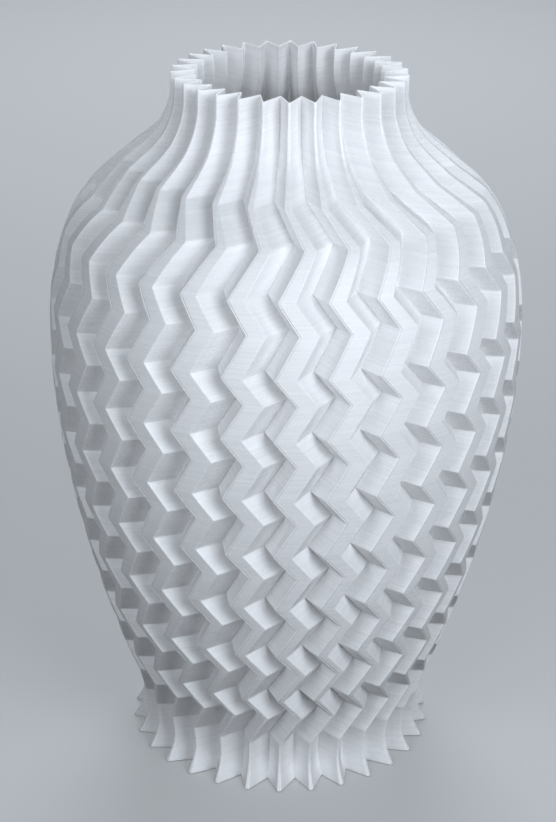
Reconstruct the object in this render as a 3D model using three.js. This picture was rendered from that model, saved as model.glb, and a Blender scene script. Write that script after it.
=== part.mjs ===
// A tall open vase with thirty pleats that zigzag down its body.
//
// The wall is one continuous pleated sheet over a closed floor. Every horizontal section is a
// star of thirty pleats. Each pleat has a sharp inner valley and an outer ridge that is cut off
// flat by the smooth outline of the vase, so the ridges read as bands on the body and come
// back to edges at the rim and above the foot. The whole star sways sideways and back between
// the kink heights, which folds every ridge and valley into a zigzag.

import * as THREE from 'three';

// ---- Driving dimensions: millimetres, and degrees for angles ----

const HEIGHT = 250;
const PLEATS = 30;
const WALL = 0.5;            // measured level, square to the sheet
const FLOOR = 1.2;

// Outer outline: [height, radius to the ridges], from the foot to the rim.
const OUTLINE = [
  [0, 55.8], [3, 54.0], [6, 52.6], [10, 51.8], [18, 52.9], [30, 56.7], [50, 63.6],
  [70, 69.5], [90, 74.4], [110, 78.3], [130, 81.1], [150, 82.5], [165, 82.5], [180, 81.0],
  [195, 76.9], [207.5, 70.1], [220, 56.7], [230, 45.3], [240, 40.6], [250, 40.0],
];

// Width of the flat on each ridge: [height, width].
const FLAT_WIDTH = [
  [0, 1.5], [8, 0.8], [18, 0.4], [30, 0.9], [42, 2.2], [63, 3.5], [85, 4.7], [107, 5.8],
  [129, 6.6], [150, 6.9], [172, 6.9], [190, 6.2], [210, 3.9], [220, 2.1], [232, 1.1], [250, 0.9],
];

// Depth of the pleats, ridge to valley.
const DEPTH_BODY = 8.4;
const DEPTH_SWAYED = 7.7;    // where the pleats stand furthest to the side
const DEPTH_RIM = 7.3;

const RIDGE_ANGLE = -0.45;   // the ridge nearest the front, measured from -Y towards +X
const VALLEY_LEAN = 0.9;     // how far each valley sits past the middle between two ridges

// The zigzag: rows of one sway out and one sway back, listed downwards from the neck.
const ZIGZAG_TOP = 220;
const ROW_HEIGHTS = [24, 24, 21, 22, 22, 22, 22, 22, 23];
const OUTWARD_SHARE = 0.415; // share of a row's height that the sway out takes
const SWAY = 7.35;           // sideways travel along the outline

// How finely the curved stretches are stepped.
const NECK_STEPS = 6;
const FOOT_STEPS = 4;
const SHOULDER_ROWS = 2;     // rows whose folds get a ring in the middle too

const WHITE_PLASTIC = new THREE.MeshStandardMaterial({
  name: 'white printed plastic', color: 0xe4e9ee, roughness: 0.55, metalness: 0,
});

// ---- Curves along the height ----

// A smooth curve through [height, value] points, with slopes taken from the neighbours.
function smoothCurve(points) {
  const slopeAt = (i) => {
    const before = points[Math.max(i - 1, 0)];
    const after = points[Math.min(i + 1, points.length - 1)];
    return (after[1] - before[1]) / (after[0] - before[0]);
  };
  return (height) => {
    let i = 0;
    while (i < points.length - 2 && height > points[i + 1][0]) i += 1;
    const span = points[i + 1][0] - points[i][0];
    const t = THREE.MathUtils.clamp((height - points[i][0]) / span, 0, 1);
    const rise = t * t * (3 - 2 * t);
    const startPull = t * (1 - t) * (1 - t) * span;
    const endPull = t * t * (t - 1) * span;
    return THREE.MathUtils.lerp(points[i][1], points[i + 1][1], rise)
      + startPull * slopeAt(i) + endPull * slopeAt(i + 1);
  };
}

// Straight lines through [height, value] points.
function brokenLine(points) {
  return (height) => {
    let i = 0;
    while (i < points.length - 2 && height > points[i + 1][0]) i += 1;
    const [low, high] = [points[i], points[i + 1]];
    const t = THREE.MathUtils.clamp((height - low[0]) / (high[0] - low[0]), 0, 1);
    return THREE.MathUtils.lerp(low[1], high[1], t);
  };
}

// Kink heights from the foot up: [height, 0 where the star is home or 1 where it is swayed].
function kinks() {
  const found = [[ZIGZAG_TOP, 0]];
  let top = ZIGZAG_TOP;
  for (const row of ROW_HEIGHTS) {
    found.push([top - row * OUTWARD_SHARE, 1]);
    found.push([top - row, 0]);
    top -= row;
  }
  return found.reverse();
}

const KINKS = kinks();
const ridgeRadius = smoothCurve(OUTLINE);
const flatWidth = smoothCurve(FLAT_WIDTH);
const swayed = brokenLine(KINKS);
const pleatDepth = (height) => {
  const body = THREE.MathUtils.lerp(DEPTH_BODY, DEPTH_SWAYED, swayed(height));
  const up = THREE.MathUtils.clamp((height - ZIGZAG_TOP) / (HEIGHT - ZIGZAG_TOP), 0, 1);
  return THREE.MathUtils.lerp(body, DEPTH_RIM, up);
};

// ---- Sections ----

const PITCH = (2 * Math.PI) / PLEATS;

const around = (radius, angle) =>
  new THREE.Vector2(radius * Math.sin(angle), -radius * Math.cos(angle));

// The outer outline at a height: for each pleat its valley, then the two corners of its flat.
function outerSection(height) {
  const ridge = ridgeRadius(height);
  const valley = ridge - pleatDepth(height);
  const sideways = SWAY * swayed(height);
  const home = THREE.MathUtils.degToRad(RIDGE_ANGLE);
  const halfFlat = flatWidth(height) / ridge / 2;
  const lean = THREE.MathUtils.degToRad(VALLEY_LEAN);
  const corners = [];
  for (let pleat = 0; pleat < PLEATS; pleat += 1) {
    const middle = home + pleat * PITCH + sideways / ridge;
    const fold = home + (pleat - 0.5) * PITCH + lean + sideways / valley;
    corners.push(around(valley, fold));
    corners.push(around(ridge, middle - halfFlat));
    corners.push(around(ridge, middle + halfFlat));
  }
  return corners;
}

// Where two lines cross, each given by a point and a direction.
function crossing(pointA, alongA, pointB, alongB) {
  const gap = pointB.clone().sub(pointA);
  const t = gap.cross(alongB) / alongA.cross(alongB);
  return pointA.clone().addScaledVector(alongA, t);
}

// The same section moved in by the wall. A ridge too narrow to keep a flat inside gets an edge.
function innerSection(height) {
  const NARROWEST = 0.05;
  const outer = outerSection(height);
  const count = outer.length;
  const sides = outer.map((corner, i) => {
    const along = outer[(i + 1) % count].clone().sub(corner).normalize();
    const inward = new THREE.Vector2(-along.y, along.x);
    return { start: corner.clone().addScaledVector(inward, WALL), along };
  });
  const cross = (i, j) => {
    const [a, b] = [sides[(i + count) % count], sides[j % count]];
    return crossing(a.start, a.along, b.start, b.along);
  };
  const corners = outer.map((_, i) => cross(i - 1, i));
  for (let i = 1; i < count; i += 3) {
    const flat = sides[i].along;
    const width = corners[i + 1].clone().sub(corners[i]).dot(flat);
    if (width < NARROWEST) {
      const edge = cross(i - 1, i + 1);
      corners[i] = edge.clone().addScaledVector(flat, -NARROWEST / 2);
      corners[i + 1] = edge.clone().addScaledVector(flat, NARROWEST / 2);
    }
  }
  return corners;
}

// ---- The vase ----

// Ring heights from the lowest to the rim: every kink, and steps in the curved stretches.
function ringHeights(lowest) {
  const heights = [];
  const foot = KINKS[0][0];
  for (let i = 0; i < FOOT_STEPS; i += 1) {
    heights.push(THREE.MathUtils.lerp(lowest, foot, i / FOOT_STEPS));
  }
  const shoulder = KINKS.length - 1 - 2 * SHOULDER_ROWS;
  KINKS.forEach(([height], i) => {
    heights.push(height);
    if (i >= shoulder && i < KINKS.length - 1) heights.push((height + KINKS[i + 1][0]) / 2);
  });
  for (let i = 1; i <= NECK_STEPS; i += 1) {
    heights.push(THREE.MathUtils.lerp(ZIGZAG_TOP, HEIGHT, i / NECK_STEPS));
  }
  return heights;
}

function vaseGeometry() {
  const positions = [];
  const triangles = [];
  const addRing = (corners, height) => {
    const first = positions.length / 3;
    for (const corner of corners) positions.push(corner.x, corner.y, height);
    return first;
  };
  const corners = 3 * PLEATS;
  const joinRings = (lower, upper) => {
    for (let i = 0; i < corners; i += 1) {
      const next = (i + 1) % corners;
      triangles.push(lower + i, lower + next, upper + next);
      triangles.push(lower + i, upper + next, upper + i);
    }
  };
  const capRing = (ring, height, facesUp) => {
    const centre = positions.length / 3;
    positions.push(0, 0, height);
    for (let i = 0; i < corners; i += 1) {
      const next = (i + 1) % corners;
      if (facesUp) triangles.push(centre, ring + i, ring + next);
      else triangles.push(centre, ring + next, ring + i);
    }
  };

  const outer = ringHeights(0).map((height) => addRing(outerSection(height), height));
  const inner = ringHeights(FLOOR).map((height) => addRing(innerSection(height), height));
  for (let i = 1; i < outer.length; i += 1) {
    joinRings(outer[i - 1], outer[i]);
    joinRings(inner[i], inner[i - 1]);
  }
  joinRings(outer.at(-1), inner.at(-1));
  capRing(outer[0], 0, false);
  capRing(inner[0], FLOOR, true);

  const geometry = new THREE.BufferGeometry();
  geometry.setAttribute('position', new THREE.Float32BufferAttribute(positions, 3));
  geometry.setIndex(triangles);
  geometry.computeVertexNormals();
  return geometry;
}

const vase = new THREE.Mesh(vaseGeometry(), WHITE_PLASTIC);
vase.name = 'vase';

const object = new THREE.Group();
object.name = 'pleated_vase';
object.add(vase);

export default object;
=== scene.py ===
import math

import bpy
import numpy as np
from mathutils import Matrix, Vector


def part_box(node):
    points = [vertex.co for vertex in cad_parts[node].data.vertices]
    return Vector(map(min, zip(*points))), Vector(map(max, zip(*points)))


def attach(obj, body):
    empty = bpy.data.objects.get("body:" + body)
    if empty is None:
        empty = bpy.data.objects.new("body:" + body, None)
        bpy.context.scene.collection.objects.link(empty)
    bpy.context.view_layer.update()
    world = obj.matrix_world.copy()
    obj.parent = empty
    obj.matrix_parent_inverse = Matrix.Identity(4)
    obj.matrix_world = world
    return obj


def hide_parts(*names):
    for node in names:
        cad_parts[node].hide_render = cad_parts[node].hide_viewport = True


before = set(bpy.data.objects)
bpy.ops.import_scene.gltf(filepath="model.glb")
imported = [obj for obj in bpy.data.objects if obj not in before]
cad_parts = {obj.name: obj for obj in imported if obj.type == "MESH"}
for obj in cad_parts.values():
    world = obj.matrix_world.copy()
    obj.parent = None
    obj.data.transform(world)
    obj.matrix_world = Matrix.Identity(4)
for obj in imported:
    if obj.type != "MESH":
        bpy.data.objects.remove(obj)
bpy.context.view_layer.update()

# A pleated, zigzag vase printed in white plastic, on a plain pale floor. The CAD node gives the
# place and the size. The piece below repeats its driving dimensions and adds what the plain
# solid leaves out: rounded ridges and creases, smooth curves, the curled edges of overhanging
# folds, and the printed surface.

# ---- Driving dimensions of the vase, in millimetres and degrees ----

MILLIMETRES = 1000           # in a metre
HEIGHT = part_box("vase")[1][2] * MILLIMETRES
WIDEST = 82.5                # the most that the smooth outline may swell to, as a radius
PLEATS = 30
WALL = 0.5                   # measured level, square to the sheet
FLOOR = 1.2

# Outer outline: (height, radius to the ridges), from the foot to the rim.
OUTLINE = [
    (0, 55.8), (3, 54.0), (6, 52.6), (10, 51.8), (18, 52.9), (30, 56.7), (50, 63.6),
    (70, 69.5), (90, 74.4), (110, 78.3), (130, 81.1), (150, 82.5), (165, 82.5), (180, 81.0),
    (195, 76.9), (207.5, 70.1), (220, 56.7), (230, 45.3), (240, 40.6), (250, 40.0),
]

# Width of the flat on each ridge: (height, width).
FLAT_WIDTH = [
    (0, 1.5), (8, 0.8), (18, 0.4), (30, 0.9), (42, 2.2), (63, 3.5), (85, 4.7), (107, 5.8),
    (129, 6.6), (150, 6.9), (172, 6.9), (190, 6.2), (210, 3.9), (220, 2.1), (232, 1.1), (250, 0.9),
]

# Depth of the pleats, ridge to valley.
DEPTH_BODY = 8.4
DEPTH_SWAYED = 7.7           # where the pleats stand furthest to the side
DEPTH_RIM = 7.3

RIDGE_ANGLE = -0.45          # the ridge nearest the front, measured from -Y towards +X
VALLEY_LEAN = 0.9            # how far each valley sits past the middle between two ridges

# The zigzag: rows of one sway out and one sway back, listed downwards from the neck.
ZIGZAG_TOP = 220
ROW_HEIGHTS = [24, 24, 21, 22, 22, 22, 22, 22, 23]
OUTWARD_SHARE = 0.415        # share of a row's height that the sway out takes
SWAY = 7.35                  # sideways travel along the outline

# ---- What the visible piece adds to them ----

# How far each rounding reaches from its corner.
RIDGE_ROUND = 0.24
VALLEY_ROUND = 0.22
KINK_ROUND = 0.25
RIM_ROUND = 0.22
FOOT_ROUND = 0.3
ROUND_SHARE = 0.45           # the most of a narrow face that one rounding takes
ARC_MIDDLE = 0.3             # share of a rounding's reach that its middle stands in from the corner
FOOT_ARC_LIFT = 0.25         # share of the foot's rounding that its middle stands above the floor

# The curl: the raised left edge of each band, with a furrow beside it.
CURL = 0.12                  # how far the edge stands above its band where it overhangs
SLIGHT_CURL = 0.4            # share of that on the ridges that lean the other way
FULL_CURL_SLOPE = 1 / 12     # sway lost per millimetre at which the curl is complete
CURL_REACH = 0.6             # half the height over which that slope is measured
CURL_HEIGHTS = (30, 205)     # complete between these, and gone at both ends of the zigzag
FURROW_PLACES = np.array([0.12, 0.32, 0.55])  # across the band, from the end of its rounded edge
FURROW_RISES = np.array([0.2, -1.0, 0.0])     # as shares of the curl
FURROW_POINT = 11            # the furrow's place among the points of one pleat

NARROWEST_CREASE = 0.5       # width that the inside of a ridge keeps
RING_STEP_OUTSIDE = 1.2
RING_STEP_INSIDE = 2.0
CORNER_STEPS = 4             # points on each rounded ridge corner
VALLEY_STEPS = 3
FLANK_SHARES = (0.08, 0.5, 0.92)
DISC_SHARES = (0.985, 0.8, 0.5, 0.2)

# ---- The plastic, in metres ----

GLOSS_ROUGHNESS = 0.48
REFRACTION = 1.46
SCATTER_DEPTH = 0.0008       # how far light spreads inside the wall
DULL_WHITE = (0.815, 0.81, 0.812)
CLEAR_WHITE = (0.935, 0.93, 0.932)
# Painted shade: the grey that darkens the furrows beside the curled edges.
FURROW_SHADE_GREY = (0.32, 0.32, 0.32)
SPECK_GREY = (0.6, 0.6, 0.6)
BLACK = (0, 0, 0)
WHITE = (1, 1, 1)

# Each noise: its stretch along X, Y and Z, its scale, its detail and its roughness.
PRINT_LINES = ((3, 3, 260), 5.0, 4.0, 0.65)
BLOTCHES = ((1, 1, 2.5), 24.0, 3.0, 0.5)
GRAIN = ((1, 1, 1.6), 1500.0, 2.0, 0.6)
SPECKS = ((1, 1, 1), 900.0, 1.0, 0.5)
NOISE_MIDDLE = 0.5           # the value that each of them varies about

# Shares of each noise in the mottled tone, and the stretches that turn noise into colour.
LINES_SHARE = 0.45
BLOTCHES_SHARE = 0.25
GRAIN_SHARE = 0.3
OVERHANG_GRAIN_SHARE = 0.6   # more grain where the plastic leans over
MOTTLE_STRETCH = (0.38, 0.62)
SPECK_STRETCH = (0.775, 0.83)

OVERHANG_SLOPES = (-0.1, -0.5)  # Z of the normal where leaning over starts, and where it is full
LINES_STRENGTH = 0.9
LINES_DEPTH = 0.00011
GRAIN_DEPTH = 0.00025
GRAIN_STRENGTH = 0.12
OVERHANG_GRAIN_STRENGTH = 0.6

# ---- The floor, the lights and the camera, in metres and degrees ----

FLOOR_WIDTH = 12
FLOOR_DROP = 0.0003          # keeps the floor just clear of the foot
FLOOR_GREY = (0.32, 0.32, 0.315)
FLOOR_ROUGHNESS = 0.8
FLOOR_SHINE = 0.1

# Name, azimuth, elevation, distance, side and power in watts of each soft light. Azimuth 0 is
# straight in front of the vase, and 90 is on the camera's right.
SOFTBOXES = [
    ("key_high", 34, 34, 0.6, 0.34, 1.53),
    ("key_low", 34, 18, 0.6, 0.34, 1.2),
    ("fill_high", -30, 34, 0.8, 0.5, 1.66),
    ("fill_low", -30, 14, 0.8, 0.5, 1.27),
    ("back", 180, 38, 1.5, 0.8, 18.5),
]
LIGHT_COLOUR = (0.862, 0.923, 1.0)
GROUND_GLOW = 0.2            # the pale tone that floor and background keep far from the lights
WORLD_LIGHT = 0.01

SENSOR_WIDTH = 36            # in millimetres, as is the lens
LENS = 89.6
CAMERA_PLACE = (-0.0059, -0.6694, 0.4275)
CAMERA_PITCH = 24.316        # how far it looks down
CAMERA_YAW = -0.300
CAMERA_ROLL = 0.781


# ---- Curves along the height ----

def smooth_curve(points):
    """A smooth curve through (height, value) points, with slopes taken from the neighbours."""
    heights = np.array([point[0] for point in points], float)
    values = np.array([point[1] for point in points], float)
    before = np.maximum(np.arange(len(points)) - 1, 0)
    after = np.minimum(np.arange(len(points)) + 1, len(points) - 1)
    slopes = (values[after] - values[before]) / (heights[after] - heights[before])

    def value_at(height):
        i = int(np.clip(np.searchsorted(heights, height) - 1, 0, len(points) - 2))
        span = heights[i + 1] - heights[i]
        t = min(max((height - heights[i]) / span, 0.0), 1.0)
        rise = t * t * (3 - 2 * t)
        pull = t * (1 - t) * (1 - t) * span * slopes[i] + t * t * (t - 1) * span * slopes[i + 1]
        return values[i] * (1 - rise) + values[i + 1] * rise + pull

    return value_at


def kinks():
    """The kink heights from the foot up, with 1 where the star is swayed and 0 where it is home."""
    found = [(ZIGZAG_TOP, 0.0)]
    top = ZIGZAG_TOP
    for row in ROW_HEIGHTS:
        found.append((top - row * OUTWARD_SHARE, 1.0))
        found.append((top - row, 0.0))
        top -= row
    return found[::-1]


KINKS = kinks()
KINK_HEIGHTS = [kink[0] for kink in KINKS]
KINK_VALUES = [kink[1] for kink in KINKS]
ridge_radius = smooth_curve(OUTLINE)
flat_width = smooth_curve(FLAT_WIDTH)


def swayed(height):
    """How far the star stands to the side, 0 to 1, with each kink turned over a short arc."""
    def straight(at):
        return float(np.interp(at, KINK_HEIGHTS, KINK_VALUES))

    nearest = min(KINK_HEIGHTS, key=lambda kink: abs(kink - height))
    if abs(nearest - height) >= KINK_ROUND:
        return straight(height)
    low, peak, high = (straight(nearest + step * KINK_ROUND) for step in (-1, 0, 1))
    t = (height - nearest + KINK_ROUND) / (2 * KINK_ROUND)
    return (1 - t) ** 2 * low + 2 * t * (1 - t) * peak + t * t * high


def curled(height):
    """The curl of the ridges' left edges, largest where they lean over the fold below."""
    slope = (swayed(height + CURL_REACH) - swayed(height - CURL_REACH)) / (2 * CURL_REACH)
    leaning = float(np.clip(-slope / FULL_CURL_SLOPE, 0.0, 1.0))
    ends = [KINK_HEIGHTS[0], *CURL_HEIGHTS, ZIGZAG_TOP]
    zigzag = float(np.interp(height, ends, [0, 1, 1, 0]))
    return CURL * zigzag * (SLIGHT_CURL + (1 - SLIGHT_CURL) * leaning)


def pleat_depth(height):
    body = DEPTH_BODY + (DEPTH_SWAYED - DEPTH_BODY) * swayed(height)
    up = min(max((height - ZIGZAG_TOP) / (HEIGHT - ZIGZAG_TOP), 0.0), 1.0)
    return body + (DEPTH_RIM - body) * up


# ---- One pleat's outline ----

def around(radius, angle):
    return np.array([radius * math.sin(angle), -radius * math.cos(angle)])


def turned(point, angle):
    cos, sin = math.cos(angle), math.sin(angle)
    return np.array([cos * point[0] - sin * point[1], sin * point[0] + cos * point[1]])


def unit(vector):
    return vector / np.linalg.norm(vector)


PITCH = 2 * math.pi / PLEATS


def pleat_corners(height, inset, curl=0.0):
    """Valley, two ridge corners and next valley of one pleat, moved in by inset."""
    ridge = min(ridge_radius(height), WIDEST) - curl
    valley = ridge - pleat_depth(height)
    sideways = SWAY * swayed(height)
    home = math.radians(RIDGE_ANGLE)
    half_flat = flat_width(height) / ridge / 2
    middle = home + sideways / ridge
    fold = home - PITCH / 2 + math.radians(VALLEY_LEAN) + sideways / valley
    left = around(ridge, middle - half_flat)
    right = around(ridge, middle + half_flat)
    start = around(valley, fold)
    points = [turned(right, -PITCH), start, left, right, turned(start, PITCH), turned(left, PITCH)]
    if inset == 0:
        return points[1:5]
    sides = []
    for a, b in zip(points, points[1:]):
        along = unit(b - a)
        sides.append((a + inset * np.array([-along[1], along[0]]), along))

    def crossing(side_a, side_b):
        (a, u), (b, v) = side_a, side_b
        gap = b - a
        return a + u * (gap[0] * v[1] - gap[1] * v[0]) / (u[0] * v[1] - u[1] * v[0])

    start = crossing(sides[0], sides[1])
    left = crossing(sides[1], sides[2])
    right = crossing(sides[2], sides[3])
    if np.dot(right - left, sides[2][1]) < NARROWEST_CREASE:
        edge = crossing(sides[1], sides[3])
        down, up = sides[1][1], sides[3][1]
        back = NARROWEST_CREASE / np.linalg.norm(down + up)
        left = edge - down * back
        right = edge + up * back
    return [start, left, right, turned(start, PITCH)]


def rounded(before, corner, after, run, steps):
    """Points along a corner's rounded turn, whose arc starts and ends run away from it."""
    shorter = min(np.linalg.norm(before - corner), np.linalg.norm(after - corner))
    run = min(run, ROUND_SHARE * shorter)
    start = corner + run * unit(before - corner)
    end = corner + run * unit(after - corner)
    ts = np.linspace(0, 1, steps)
    return [(1 - t) ** 2 * start + 2 * t * (1 - t) * corner + t * t * end for t in ts]


def between(start, end, shares):
    return [start + (end - start) * share for share in shares]


def pleat_outline(height, inset, curl):
    """One pleat's points, from its valley round its ridge to just before the next valley."""
    start, left, right, end = pleat_corners(height, inset, curl)
    before = turned(right, -PITCH)
    raised = left + unit(left) * curl
    valley = rounded(before, start, raised, VALLEY_ROUND, VALLEY_STEPS)
    near = rounded(start, raised, right, RIDGE_ROUND, CORNER_STEPS)
    far = rounded(left, right, end, RIDGE_ROUND, CORNER_STEPS)
    next_valley = turned(valley[0], PITCH)
    width = np.linalg.norm(right - left)
    along = unit(right - left)
    # On the band: the foot of the curled edge, the furrow beside it, then the plain surface.
    run = min(RIDGE_ROUND, ROUND_SHARE * width)
    plain = width - 2 * run
    places = run + FURROW_PLACES * min(1.0, plain / FURROW_PLACES[-1] / 2)
    rises = FURROW_RISES * curl
    band = [left + along * place + unit(left) * rise for place, rise in zip(places, rises)]
    band.append(left + along * (places[-1] + width - run) / 2)
    near_flank = between(valley[-1], near[0], FLANK_SHARES)
    far_flank = between(far[-1], next_valley, FLANK_SHARES)
    return valley + near_flank + near + band + far + far_flank


def ring(height, inset=0.0, drawn_in=0.0):
    """All the points of one level section, drawn_in making the whole outline smaller."""
    curl = curled(height) if inset == 0 else 0.0
    outline = pleat_outline(height, inset + drawn_in, curl)
    points = [turned(point, pleat * PITCH) for pleat in range(PLEATS) for point in outline]
    return np.column_stack([points, np.full(len(points), height)])


# ---- The vase's mesh ----

def ring_heights(low, high, step):
    """Heights from low to high: even steps between the kinks, and three at each kink."""
    marks = [low]
    for kink in KINK_HEIGHTS:
        marks += [kink - KINK_ROUND, kink, kink + KINK_ROUND]
    marks.append(high)
    heights = [low]
    for a, b in zip(marks, marks[1:]):
        count = max(1, round((b - a) / step))
        heights += [a + (b - a) * i / count for i in range(1, count + 1)]
    return heights


def vase_rings():
    """Closed rings from the edge of the underside, up the outside, over the rim, down inside.

    With them comes how much shade is painted into each ring's furrows, from 0 to 1.
    """
    rings = []
    furrows = []

    def add(points, height, furrow_shade=0.0):
        level = points.copy()
        level[:, 2] = height
        rings.append(level)
        furrows.append(furrow_shade)

    add(ring(0, drawn_in=FOOT_ROUND), 0)
    add(ring(0, drawn_in=FOOT_ROUND * ARC_MIDDLE), FOOT_ROUND * FOOT_ARC_LIFT)
    for height in ring_heights(FOOT_ROUND, HEIGHT - RIM_ROUND, RING_STEP_OUTSIDE):
        # The furrows get painted shade in step with their curl.
        add(ring(height), height, curled(height) / CURL)
    add(ring(HEIGHT, drawn_in=RIM_ROUND * ARC_MIDDLE), HEIGHT - RIM_ROUND * ARC_MIDDLE)
    add(ring(HEIGHT, drawn_in=RIM_ROUND), HEIGHT)
    add(ring(HEIGHT, inset=WALL - RIM_ROUND), HEIGHT)
    add(ring(HEIGHT, inset=WALL - RIM_ROUND * ARC_MIDDLE), HEIGHT - RIM_ROUND * ARC_MIDDLE)
    for height in reversed(ring_heights(FLOOR, HEIGHT - RIM_ROUND, RING_STEP_INSIDE)):
        add(ring(height, inset=WALL), height)
    return rings, furrows


def disc_rings(outline, height):
    """Rings that shrink from an outline towards the axis, on one level."""
    levels = []
    for share in DISC_SHARES:
        level = outline * share
        level[:, 2] = height
        levels.append(level)
    return levels


def build_vase():
    """The vase as one closed, smooth-shaded mesh, its furrows marked for painted shade."""
    walls, furrows = vase_rings()
    under = disc_rings(walls[0], 0.0)
    inside = disc_rings(walls[-1], FLOOR)
    rings = under[::-1] + walls + inside
    count = len(rings[0])
    points = np.concatenate(rings + [np.array([[0, 0, 0], [0, 0, FLOOR]])]) / MILLIMETRES
    here = np.arange(count)
    right = (here + 1) % count
    faces = []
    for level in range(len(rings) - 1):
        low, high = level * count, (level + 1) * count
        faces += np.column_stack([low + here, low + right, high + right, high + here]).tolist()
    under_centre = len(rings) * count
    last = (len(rings) - 1) * count
    faces += [[under_centre, int(b), int(a)] for a, b in zip(here, right)]
    faces += [[under_centre + 1, int(last + a), int(last + b)] for a, b in zip(here, right)]
    mesh = bpy.data.meshes.new("printed_vase")
    mesh.from_pydata(points.tolist(), [], faces)
    # Painted shade: how dark each furrow point is drawn, kept as a point attribute for the plastic.
    marks = np.zeros(len(points))
    on_ring = np.arange(FURROW_POINT, count, count // PLEATS)
    for level, furrow_shade in enumerate(furrows, len(under)):
        marks[level * count + on_ring] = furrow_shade
    mesh.attributes.new("furrow_shade", "FLOAT", "POINT").data.foreach_set("value", marks)
    mesh.polygons.foreach_set("use_smooth", [True] * len(mesh.polygons))
    mesh.update()
    vase = bpy.data.objects.new("printed_vase", mesh)
    bpy.context.scene.collection.objects.link(vase)
    vase.modifiers.new("evened_normals", "WEIGHTED_NORMAL")
    return vase


# ---- Materials ----

class NodeMaterial:
    """A material on the Principled shader, with short names for the nodes that feed it."""

    def __init__(self, name):
        self.material = bpy.data.materials.new(name)
        self.material.use_nodes = True
        self.nodes = self.material.node_tree.nodes
        self.links = self.material.node_tree.links
        self.shader = self.nodes["Principled BSDF"]

    def set(self, socket, value):
        self.shader.inputs[socket].default_value = value

    def feed(self, node, socket, value):
        """Link another node's output to a socket, or set a plain number on it."""
        if isinstance(value, float):
            node.inputs[socket].default_value = value
        else:
            self.links.new(value, node.inputs[socket])

    def noise(self, stretch, scale, detail, roughness):
        coordinates = self.nodes.new("ShaderNodeTexCoord")
        mapping = self.nodes.new("ShaderNodeMapping")
        mapping.inputs["Scale"].default_value = stretch
        texture = self.nodes.new("ShaderNodeTexNoise")
        texture.inputs["Scale"].default_value = scale
        texture.inputs["Detail"].default_value = detail
        texture.inputs["Roughness"].default_value = roughness
        self.feed(mapping, "Vector", coordinates.outputs["Object"])
        self.feed(texture, "Vector", mapping.outputs["Vector"])
        return texture.outputs["Fac"]

    def maths(self, operation, first, second):
        node = self.nodes.new("ShaderNodeMath")
        node.operation = operation
        self.feed(node, 0, first)
        self.feed(node, 1, second)
        return node.outputs["Value"]

    def weighted(self, value, share, base):
        """The base, with a share of the value added."""
        return self.maths("ADD", base, self.maths("MULTIPLY", value, share))

    def ramp(self, factor, places, colours):
        node = self.nodes.new("ShaderNodeValToRGB")
        for element, place, colour in zip(node.color_ramp.elements, places, colours):
            element.position = place
            element.color = (*colour, 1)
        self.feed(node, "Fac", factor)
        return node.outputs["Color"]

    def mixed(self, factor, first, second):
        """The first colour, which comes from a node, turning into the plain second one."""
        node = self.nodes.new("ShaderNodeMix")
        node.data_type = "RGBA"
        node.inputs["B"].default_value = (*second, 1)
        self.feed(node, "A", first)
        self.feed(node, "Factor", factor)
        return node.outputs["Result"]

    def attribute(self, name):
        node = self.nodes.new("ShaderNodeAttribute")
        node.attribute_name = name
        return node.outputs["Fac"]

    def leaning_over(self, slopes):
        """From 0 to 1 as the surface turns downwards, between two values of its normal's Z."""
        geometry = self.nodes.new("ShaderNodeNewGeometry")
        parts = self.nodes.new("ShaderNodeSeparateXYZ")
        node = self.nodes.new("ShaderNodeMapRange")
        node.inputs["From Min"].default_value, node.inputs["From Max"].default_value = slopes
        self.feed(parts, "Vector", geometry.outputs["Normal"])
        self.feed(node, "Value", parts.outputs["Z"])
        return node.outputs["Result"]

    def bump(self, height, strength, distance, normal=None):
        node = self.nodes.new("ShaderNodeBump")
        node.inputs["Distance"].default_value = distance
        self.feed(node, "Strength", strength)
        self.feed(node, "Height", height)
        if normal is not None:
            self.feed(node, "Normal", normal)
        return node.outputs["Normal"]


def printed_plastic():
    """Matt white plastic: level print lines, grainier overhangs, shade painted in furrows, a few
    specks.
    """
    plastic = NodeMaterial("white_printed_plastic")
    plastic.set("Roughness", GLOSS_ROUGHNESS)
    plastic.set("IOR", REFRACTION)
    plastic.set("Subsurface Weight", 1.0)
    plastic.set("Subsurface Radius", (1.0, 1.0, 1.0))
    plastic.set("Subsurface Scale", SCATTER_DEPTH)

    lines = plastic.noise(*PRINT_LINES)
    grain = plastic.noise(*GRAIN)
    overhang = plastic.leaning_over(OVERHANG_SLOPES)

    mottle = plastic.maths("MULTIPLY", lines, LINES_SHARE)
    mottle = plastic.weighted(plastic.noise(*BLOTCHES), BLOTCHES_SHARE, mottle)
    mottle = plastic.weighted(grain, GRAIN_SHARE, mottle)
    off_middle = plastic.maths("SUBTRACT", grain, NOISE_MIDDLE)
    extra_grain = plastic.maths("MULTIPLY", off_middle, overhang)
    mottle = plastic.weighted(extra_grain, OVERHANG_GRAIN_SHARE, mottle)
    tone = plastic.ramp(mottle, MOTTLE_STRETCH, (DULL_WHITE, CLEAR_WHITE))
    specks = plastic.ramp(plastic.noise(*SPECKS), SPECK_STRETCH, (BLACK, WHITE))
    speckled = plastic.mixed(specks, tone, SPECK_GREY)
    # Painted shade: the furrows are darkened towards grey, more where the band's edge curls over.
    colour = plastic.mixed(plastic.attribute("furrow_shade"), speckled, FURROW_SHADE_GREY)
    plastic.feed(plastic.shader, "Base Color", colour)

    line_relief = plastic.bump(lines, LINES_STRENGTH, LINES_DEPTH)
    grain_strength = plastic.maths("MULTIPLY", overhang, OVERHANG_GRAIN_STRENGTH)
    grain_strength = plastic.maths("ADD", grain_strength, GRAIN_STRENGTH)
    relief = plastic.bump(grain, grain_strength, GRAIN_DEPTH, line_relief)
    plastic.feed(plastic.shader, "Normal", relief)
    return plastic.material


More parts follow.
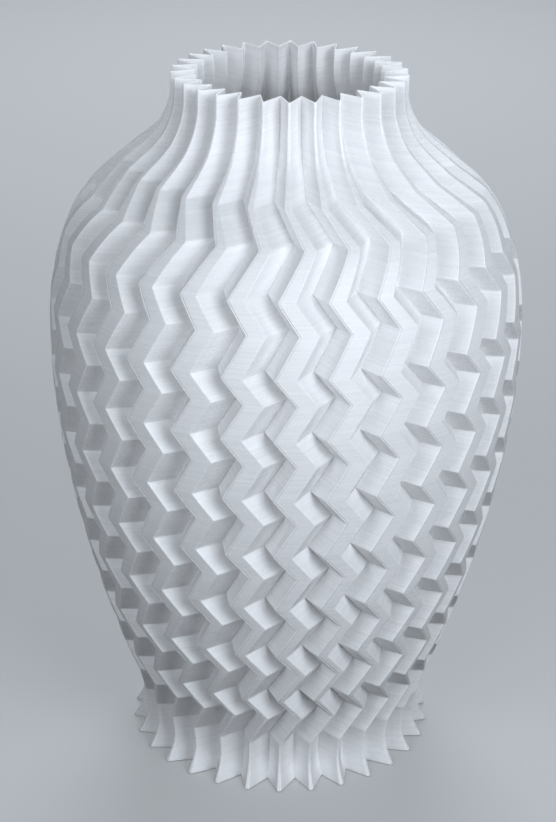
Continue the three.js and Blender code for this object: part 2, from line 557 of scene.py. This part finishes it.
def pale_floor():
    """A matt grey that also keeps a pale tone of its own where the lights don't reach."""
    floor = NodeMaterial("pale_floor")
    floor.set("Base Color", (*FLOOR_GREY, 1))
    floor.set("Emission Color", (*LIGHT_COLOUR, 1))
    floor.set("Emission Strength", GROUND_GLOW)
    floor.set("Roughness", FLOOR_ROUGHNESS)
    floor.set("Specular IOR Level", FLOOR_SHINE)
    return floor.material


# ---- The scene ----

def add_floor():
    """The floor. It throws no light on the vase, because the ground in the photo is dark."""
    bpy.ops.mesh.primitive_plane_add(size=FLOOR_WIDTH, location=(0, 0, -FLOOR_DROP))
    floor = bpy.context.object
    floor.name = "floor"
    floor.data.materials.append(pale_floor())
    floor.visible_diffuse = False


def add_softbox(name, azimuth, elevation, distance, side, power):
    """A square soft light turned to the middle of the vase."""
    data = bpy.data.lights.new(name, "AREA")
    data.shape = "SQUARE"
    data.size = side
    data.energy = power
    data.color = LIGHT_COLOUR
    across, up = math.radians(azimuth), math.radians(elevation)
    away = Vector((math.cos(up) * math.sin(across), -math.cos(up) * math.cos(across), math.sin(up)))
    light = bpy.data.objects.new(name, data)
    light.location = Vector((0, 0, HEIGHT / 2 / MILLIMETRES)) + away * distance
    light.rotation_euler = away.to_track_quat("Z", "Y").to_euler()
    bpy.context.scene.collection.objects.link(light)


def add_world():
    """Almost no light from around, but a pale tone where the camera looks past the floor."""
    world = bpy.data.worlds.new("studio")
    world.use_nodes = True
    nodes, links = world.node_tree.nodes, world.node_tree.links
    background = nodes["Background"]
    background.inputs["Color"].default_value = (*LIGHT_COLOUR, 1)
    rays = nodes.new("ShaderNodeLightPath")
    strength = nodes.new("ShaderNodeMath")
    strength.operation = "MULTIPLY_ADD"
    strength.inputs[1].default_value = GROUND_GLOW
    strength.inputs[2].default_value = WORLD_LIGHT
    links.new(rays.outputs["Is Camera Ray"], strength.inputs[0])
    links.new(strength.outputs["Value"], background.inputs["Strength"])
    bpy.context.scene.world = world


def add_camera():
    """A long lens looking down on the vase from the front, with a slight roll."""
    data = bpy.data.cameras.new("camera")
    data.sensor_width = SENSOR_WIDTH
    data.lens = LENS
    camera = bpy.data.objects.new("camera", data)
    place = Matrix.Translation(CAMERA_PLACE)
    yaw = Matrix.Rotation(math.radians(CAMERA_YAW), 4, "Z")
    pitch = Matrix.Rotation(math.radians(90 - CAMERA_PITCH), 4, "X")
    roll = Matrix.Rotation(math.radians(CAMERA_ROLL), 4, "Z")
    camera.matrix_world = place @ yaw @ pitch @ roll
    bpy.context.scene.collection.objects.link(camera)
    bpy.context.scene.camera = camera


add_camera()
add_floor()
for softbox in SOFTBOXES:
    add_softbox(*softbox)
add_world()
bpy.context.scene.view_settings.view_transform = "Standard"

vase = build_vase()
vase.data.materials.append(printed_plastic())
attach(vase, "root")
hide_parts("vase")
